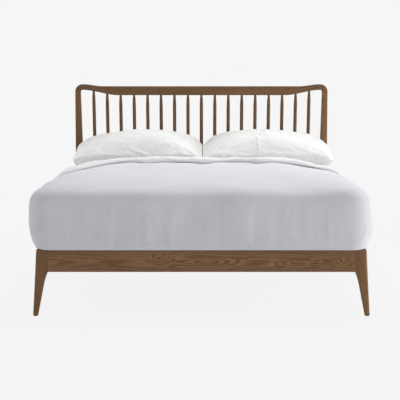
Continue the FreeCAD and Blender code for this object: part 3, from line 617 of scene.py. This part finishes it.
def turned_back():
    """Head end of the duvet folded back over itself: a section with a rolled hem in front and a full round fold
    behind, carried along the path over the bed; it swells and thins as filling does."""
    path, out, run = turn_path()
    x = path[:, 0]
    sink = 0.004                       # the underside lies this deep in the duvet's top
    middle = 0.46                      # y that the section shrinks towards at its ends
    fold = 0.034                       # how far the round fold reaches back
    on_top = smooth_step(path[:, 1], 0.60, 0.65)
    wave = 2 * np.pi * run
    thick = (0.016 + 0.008 * smooth_step(0.800 - np.abs(x), 0.0, 0.300)) * (1 + 0.10 * np.sin(wave / 0.585))
    hem = TURN_FRONT + 0.030 * (0.5 + 0.3 * np.sin(wave / 0.760) + 0.2 * np.sin(wave / 0.420 + 1))
    dip = hem_dips(x) * on_top
    hem = hem - 0.5 * dip - 0.150 * smooth_step(-x, 0.45, 0.86)
    lip = 0.046 + 0.016 * on_top       # the fold hangs this far below the duvet's top, behind it
    # the section thins to a fifth at both ends, so that each end is a small loop that one point closes
    ends = np.minimum(np.arange(len(run)), np.arange(len(run))[::-1])
    nearly = np.clip(ends / 5, 0.02, 1.0)
    closing = np.sqrt(nearly * (2 - nearly))[:, None]
    hem, thick, dip, lip = (values[:, None] for values in (hem, thick, dip, lip))
    roll_half, roll_middle, fold_half = (thick + sink + dip) / 2, (thick - sink - dip) / 2, (thick + lip) / 2
    roll = np.linspace(-0.5 * np.pi, -1.5 * np.pi, 13)
    over = np.linspace(0, 1, 14)[1:-1]
    bend = np.linspace(0.5 * np.pi, -0.5 * np.pi, 17)
    front_end, back_start = hem + 1.5 * roll_half, TURN_BACK - fold
    section = joined((hem + roll_half * (1 + np.cos(roll)) * 1.5, roll_middle + roll_half * np.sin(roll)),
                     (front_end + (back_start - front_end) * over, thick + 0.003 * np.sin(np.pi * over)),
                     (back_start + fold * np.cos(bend), (thick - lip) / 2 + fold_half * np.sin(bend)),
                     (np.array([0.492, 0.484, 0.480]), -lip + np.array([0.0, 0.004, 0.020])),
                     (np.array([[0.478, 0.46, 0.44]]), np.array([[-sink - 0.004, -sink, -sink]])))
    along, raised = section[..., 0], section[..., 1]
    along = middle + (along - middle) * (0.55 + 0.45 * closing)
    raised = -sink + (raised + sink) * closing
    points = np.stack([path[:, :1] + out[:, :1] * raised, along, path[:, 1:] + out[:, 1:] * raised], axis=-1)
    lift = 0.0022 * soft_waves(points, 0.24, 21) + 0.0013 * soft_waves(points, 0.09, 22, (1, 2.5, 1))
    outer = smooth_step(raised, 0.004, 0.016) * closing
    points[..., 0] += out[:, :1] * lift * outer
    points[..., 2] += out[:, 1:] * lift * outer
    points[..., 0] = pulled_in(points[..., 0], points[..., 2])
    first, last = points[:1].mean(1, keepdims=True), points[-1:].mean(1, keepdims=True)
    count = points.shape[1]
    points = np.concatenate([np.repeat(first, count, 1), points, np.repeat(last, count, 1)])
    return points, grid_quads(len(points), count, around=True)


# ---------------------------------------------------------------- pillows
def pillow_skins(seed, ends, marks):
    """Two skins over one square of u and v. Height is the smooth least of 1 - |u|^p along the pillow and
    (1 - |v|^2.7)^(1/2.7) across it, flatter below than above; p is given for the left and the right end. The
    long seams are drawn in by 13 mm between the corners."""
    half_long, half_wide = PILLOW_SIZE[0] / 2, PILLOW_SIZE[1] / 2
    a = np.linspace(-1, 1, 201)
    b = np.linspace(-1, 1, 111)
    # points crowd towards the seams
    u, v = np.meshgrid(np.sin(a * np.pi / 2) * 0.35 + a * 0.65, np.sin(b * np.pi / 2) * 0.6 + b * 0.4, indexing="ij")
    from_end, from_front = 1 - np.abs(u), 1 - np.abs(v)
    wide = np.clip(1 - np.abs(v) ** 2.7, 1e-6, None) ** (1 / 2.7)
    edge = (np.abs(u) > 0.9999) | (np.abs(v) > 0.9999)
    blunt = ends[0] + (ends[1] - ends[0]) * smooth_step(u, -0.3, 0.3)
    high, deep = (np.where(edge, 0.0, (np.clip(1 - np.abs(u) ** power, 1e-6, None) ** -4 + wide ** -4 - 1) ** -0.25)
                  for power in (blunt, 5.0))
    x = half_long * u * (1 - 0.008 * (1 - v ** 2)) * (1 - 0.020 * (u * v) ** 8)
    y = half_wide * v * (1 - 0.053 * (1 - u ** 2)) * (1 - 0.030 * (u * v) ** 8)
    # rays run out from the corners, puckers lie along the seams
    corner = np.hypot(from_end * half_long, from_front * half_wide)
    turn = np.arctan2(from_front * half_wide, from_end * half_long)
    beside = smooth_step(corner, 0.015, 0.06)
    rays = 0.0045 * np.cos(turn * 11 + seed) * beside * (1 - smooth_step(corner, 0.09, 0.24))
    seam = np.minimum(from_end, from_front)
    pucker = 0.0016 * soft_waves(np.stack([x, y, 0 * x], -1), 0.034, seed + 5) * (1 - smooth_step(seam, 0.02, 0.16))
    # they grow with the height beside the seam, so that the two skins never cross there
    above = PILLOW_CROWN * high + (rays + pucker + marks(x, y)) * np.clip(high * 6, 0, 1)
    below = -PILLOW_BELLY * deep - (rays + pucker) * np.clip(deep * 6, 0, 1)
    top, low = np.stack([x, y, above], axis=-1), np.stack([x, y, below], axis=-1)
    top[..., 2] += 0.0035 * soft_waves(top, 0.26, seed) * high
    # the front seam hangs 30 mm lower between the corners, out of sight behind the turned-back duvet
    droop = 0.030 * smooth_step(-v, 0.35, 1.0) * (1 - smooth_step(np.abs(u), 0.62, 0.96))
    top[..., 2] -= droop
    low[..., 2] = np.maximum(low[..., 2] - droop, low[..., 2].min())
    return top, low, edge


def left_marks(x, y):
    """A short pinched dent near the front edge."""
    return -0.006 * np.exp(-((x - 0.020) / 0.007) ** 2 - ((y + 0.222) / 0.018) ** 2)


def right_marks(x, y):
    """A pressed ridge down the front, and four narrow puckers beside the seam at the right end."""
    ridge = 0.0045 * dent(x, -0.062, 0.006) * (1 - smooth_step(y, -0.10, -0.02))
    beside = smooth_step(x, 0.22, 0.30) * (1 - smooth_step(y, -0.16, -0.10))
    return ridge + 0.0022 * beside * np.sin(2 * np.pi * (y - 0.10 * (x - 0.3)) / 0.022)


def pillow(side, seed, ends, marks):
    """Filled pillow: skins blown up by the filling, leaned back 10 degrees, its underside flat on the mattress."""
    top, low, edge = pillow_skins(seed, ends, marks)
    rows, columns = top.shape[:2]
    second = rows * columns            # the lower skin's first point
    points = np.concatenate([top.reshape(-1, 3), low.reshape(-1, 3)])
    quads = np.concatenate([grid_quads(rows, columns), grid_quads(rows, columns, start=second)[:, ::-1]])
    # one point for the two skins along the seam
    ring = np.nonzero(edge.ravel())[0]
    same = np.arange(len(points))
    same[ring + second] = ring
    quads = same[quads]
    points = settle(points, quads, np.zeros(len(points), bool), pressure=1.5, cap=0.005, slack=0.012)
    points[ring + second] = points[ring]
    c, s = math.cos(PILLOW_TILT), math.sin(PILLOW_TILT)
    y, z = points[:, 1] * c - points[:, 2] * s, points[:, 1] * s + points[:, 2] * c
    # it lies 0.8 mm off the mattress and is pressed flat by 6 mm, its back 12 mm before the headboard
    rest = MATTRESS_HIGH[2] + 0.0008
    z = np.maximum(z - z.min() + rest - 0.006, rest)
    return np.stack([points[:, 0] + PILLOW_CENTRES[side], y + HEAD_FACE - 0.012 - y.max(), z], axis=-1), quads


# ---------------------------------------------------------------- materials
# each copy's shift changes its lightness as a whole: the foot rail is made lighter, and the headboard, uprights and
# spindles darker, as painted light and shade
# the foot rail's swirls are placed like the ones that the photo shows
ash_along = stained_ash("stained_ash_across_bed", "X", heart=(0.3, 1.11, -0.262), painted_light_shift=0.14, ring=0.0060,
                        swirls=[(-0.205, 0.283, 0.042, 0.019, 3.6), (0.02, 0.270, 0.15, 0.018, 4.6),
                                (0.47, 0.262, 0.10, 0.013, 3.0), (0.635, 0.272, 0.07, 0.014, 3.2)])
ash_crest = stained_ash("stained_ash_headboard", "X", heart=(0.9, -1.01, -1.13), painted_light_shift=-0.19)
ash_side = stained_ash("stained_ash_side_rails", "Y", heart=(0.4, 0.04, -0.25))
ash_upright = stained_ash("stained_ash_uprights", "Z", heart=(0.2, 0.03, 0.06), ring=0.005, painted_light_shift=-0.10)
ash_leg = stained_ash("stained_ash_legs", "Z", heart=(0.1, 0.02, 0.05), ring=0.005)
ash_turned = stained_ash("stained_ash_spindles", "Z", heart=(0.3, 0.02, 0.04), ring=0.004, painted_light_shift=-0.29)
pine_slats = plain_timber("planed_pine", "DEC69C", "C9A873", "X")
pine_ledges = plain_timber("planed_pine_ledges", "DAC096", "C5A26C", "Y")
beech = plain_timber("turned_beech", "D9B48C", "C49A70", "Y")
black_steel = grained("powder_coated_steel", "1E1E20", 0.48, 0.0016, 0.00008)
zinc = grained("bright_zinc_plate", "B9BDC2", 0.30, 0.0030, 0.00003, Metallic=1.0)
nylon = grained("moulded_nylon", "D8D5CC", 0.45, 0.0040, 0.00005)
webbing = webbing_tape("woven_webbing")
ticking = woven("mattress_ticking", "EAE8E2", 0.0030, 0.0006, "E2DFD8")
duvet_cotton = woven("washed_duvet_cotton", "DADADD", 0.0032, 0.0005, "D5D5DA")
# the turned-back end is the same cotton as the top, drawn lighter and more neutral: that lightness is painted light
duvet_underside_painted_light = woven("washed_duvet_reverse_painted_light", "ECECEC", 0.0032, 0.0005, "E6E6E8")
pillow_cotton = woven("pillow_cotton", "ECECEA", 0.0028, 0.0004, "E8E7E4")

# each node takes the first finish whose name it starts with
finishes = {"crest_rail": ash_crest, "lower_spindle_rail": ash_crest, "head_rail": ash_crest, "foot_rail": ash_along,
            "side_rail": ash_side, "post": ash_upright, "front_leg": ash_leg, "spindle": ash_turned,
            "slat_ledge": pine_ledges, "slat_strap": webbing, "slat_screws": zinc, "slat": pine_slats,
            "joint_dowels": beech, "mid_beam": black_steel, "beam_hanger": black_steel,
            "corner_brackets": black_steel, "bracket_bolts": zinc, "threaded_inserts": zinc, "fitting_screws": zinc,
            "ledge_screws": zinc, "foot_glides": nylon}
for name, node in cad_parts.items():
    found = [finish for start, finish in finishes.items() if name.startswith(start)]
    if found:
        node.data.materials.clear()
        node.data.materials.append(found[0])


# ---------------------------------------------------------------- straps and bedding
def dress(replaced):
    """Hides the CAD node that a padded piece stands for."""
    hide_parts(replaced)


def strap_ribbon(side):
    """Closed ribbon under the slats, as wide and thick as the CAD's strap: it sags by 2 mm, smoothly, between
    each pair of slats. Returns its points, quads and flat size."""
    low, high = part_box("slat_strap_" + side)
    boxes = [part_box(name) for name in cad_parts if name.startswith("slat_") and name[5:].isdigit()]
    centres = np.sort([(start.y + end.y) / 2 for start, end in boxes])
    y = np.linspace(low.y, high.y, 281)
    between = np.interp(y, centres, np.arange(len(centres))) % 1
    sag = 0.002 * (1 - smooth_step(np.abs(between - 0.5), 0.0, 0.27))[:, None]
    across = np.concatenate([np.linspace(low.x, high.x, 7), np.linspace(high.x, low.x, 7)])
    faces = np.repeat([high.z - 0.0001, low.z], 7)
    points = np.stack(np.broadcast_arrays(across, y[:, None], faces - sag), axis=-1)
    ends = points[[0, -1]].copy()
    ends[..., 2] = (low.z + high.z) / 2 - sag[[0, -1]]
    points = np.concatenate([ends[:1], points, ends[1:]])
    return points, grid_quads(len(points), points.shape[1], around=True), (high.x - low.x, high.y - low.y)


for side in ("left", "right"):
    strap_points, strap_quads, strap_cut = strap_ribbon(side)
    strap = piece("webbing_strap_" + side, strap_points, strap_quads, webbing, weld=0.00005)
    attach(strap, "bed_frame")
    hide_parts("slat_strap_" + side)

mattress_grid = mattress_points()
mattress_quads = grid_quads(*mattress_grid.shape[:2], around=True)
mattress = piece("mattress_block", mattress_grid, mattress_quads, ticking)
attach(mattress, BEDDING)
dress("mattress")
for label, z in (("upper", MATTRESS_HIGH[2] - 0.010), ("lower", MATTRESS_LOW[2] + 0.010)):
    tape = piece("mattress_tape_" + label, *tape_edge(z), ticking)
    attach(tape, BEDDING)

cover = piece("duvet_quilt", *duvet(), duvet_cotton)
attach(cover, BEDDING)
dress("duvet")
turned = piece("duvet_turned_back", *turned_back(), duvet_underside_painted_light)
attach(turned, BEDDING)
dress("duvet")

for side, seed, ends, marks in (("left", 31, (2.1, 3.2), left_marks), ("right", 47, (3.2, 2.5), right_marks)):
    filled = piece("filled_pillow_" + side, *pillow(side, seed, ends, marks), pillow_cotton, weld=0.00001)
    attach(filled, "pillow_" + side)
    dress("pillow_" + side)


# ---------------------------------------------------------------- studio
BACKDROP = linear("F6F6F6")


def lamp(name, place, aim, size, power):
    """Square softbox at a place, facing the aimed point, out of the camera's sight."""
    light = bpy.data.lights.new(name, "AREA")
    light.size = size
    light.energy = power
    made = new_object(name, light)
    made.location = place
    made.visible_camera = False
    x, y, z = np.array(aim) - np.array(place)
    made.rotation_euler = (math.atan2(math.hypot(x, y), -z), 0, math.atan2(y, x) - math.pi / 2)


def sees_backdrop(tree):
    """1 for rays that should see the plain pale backdrop: from the camera, in gloss or through glass."""
    path = add(tree, "LightPath").outputs
    direct = calc(tree, "MAXIMUM", path["Is Camera Ray"], path["Is Glossy Ray"])
    return calc(tree, "MAXIMUM", direct, path["Is Transmission Ray"])


def studio_world():
    """Pale backdrop for the camera, even grey fill light for everything else."""
    world = bpy.data.worlds.new("studio")
    bpy.context.scene.world = world
    tree = new_tree(world)
    fill = add(tree, "Background", {"Color": linear("F4F6FA"), "Strength": 0.46})
    seen = add(tree, "Background", {"Color": BACKDROP, "Strength": 1.0})
    mix = add(tree, "MixShader", {0: sees_backdrop(tree), 1: fill.outputs[0], 2: seen.outputs[0]})
    add(tree, "OutputWorld", {"Surface": mix.outputs[0]})


def studio_floor():
    """Pale matt floor: near the bed its light comes partly from the lamps, so the bed's shadow lies on it, and
    further off it becomes the backdrop's own colour."""
    material = bpy.data.materials.new("pale_floor")
    tree = new_tree(material)
    oval = mapped(tree, add(tree, "TexCoord").outputs["Object"], Scale=(1, 0.85, 1))
    away = combine(tree, "LENGTH", oval, output=1)
    far = ranged(tree, away, (1.6, 3.0), interpolation_type="SMOOTHSTEP")
    lit = add(tree, "BsdfDiffuse", {"Color": (0.05, 0.05, 0.05, 1.0)})
    glow = add(tree, "Emission", {"Color": BACKDROP, "Strength": 0.945})
    near = add(tree, "AddShader", {0: lit.outputs[0], 1: glow.outputs[0]})
    plain = add(tree, "Emission", {"Color": BACKDROP, "Strength": 1.0})
    seen = add(tree, "MixShader", {0: far, 1: near.outputs[0], 2: plain.outputs[0]})
    matt = add(tree, "BsdfDiffuse", {"Color": linear("F2F2F2")})
    mix = add(tree, "MixShader", {0: sees_backdrop(tree), 1: matt.outputs[0], 2: seen.outputs[0]})
    add(tree, "OutputMaterial", {"Surface": mix.outputs[0]})
    mesh = bpy.data.meshes.new("studio_floor")
    reach = 40.0
    corners = [(-reach, -reach, 0), (reach, -reach, 0), (reach, reach, 0), (-reach, reach, 0)]
    mesh.from_pydata(corners, [], [(0, 1, 2, 3)])
    mesh.materials.append(material)
    floor = new_object("studio_floor", mesh)


def place_camera():
    """The photo's view: straight from the foot, 1.2 m up, looking down by 5.5 degrees with a long lens."""
    lens = bpy.data.cameras.new("camera")
    lens.sensor_width = 36.0
    lens.lens = 117.99
    lens.shift_x = -0.0035
    lens.clip_end = 200.0
    camera = new_object("camera", lens)
    camera.location = (0.0, -7.4917, 1.19915)
    camera.rotation_euler = (math.radians(90 - 5.506), 0.0, 0.0)
    bpy.context.scene.camera = camera


studio_world()
studio_floor()
lamp("softbox_top", (0.5, 1.55, 3.7), (0.0, -0.1, 0.5), 3.2, 82)
lamp("softbox_right", (4.2, -1.0, 1.5), (0.0, -0.3, 0.5), 2.4, 86)
lamp("softbox_left", (-4.2, 0.6, 1.5), (0.0, -0.3, 0.5), 2.0, 30)
lamp("softbox_front", (1.2, -6.0, 0.7), (0.0, -1.0, 0.4), 3.0, 40)
place_camera()
bpy.context.scene.view_settings.view_transform = "Standard"
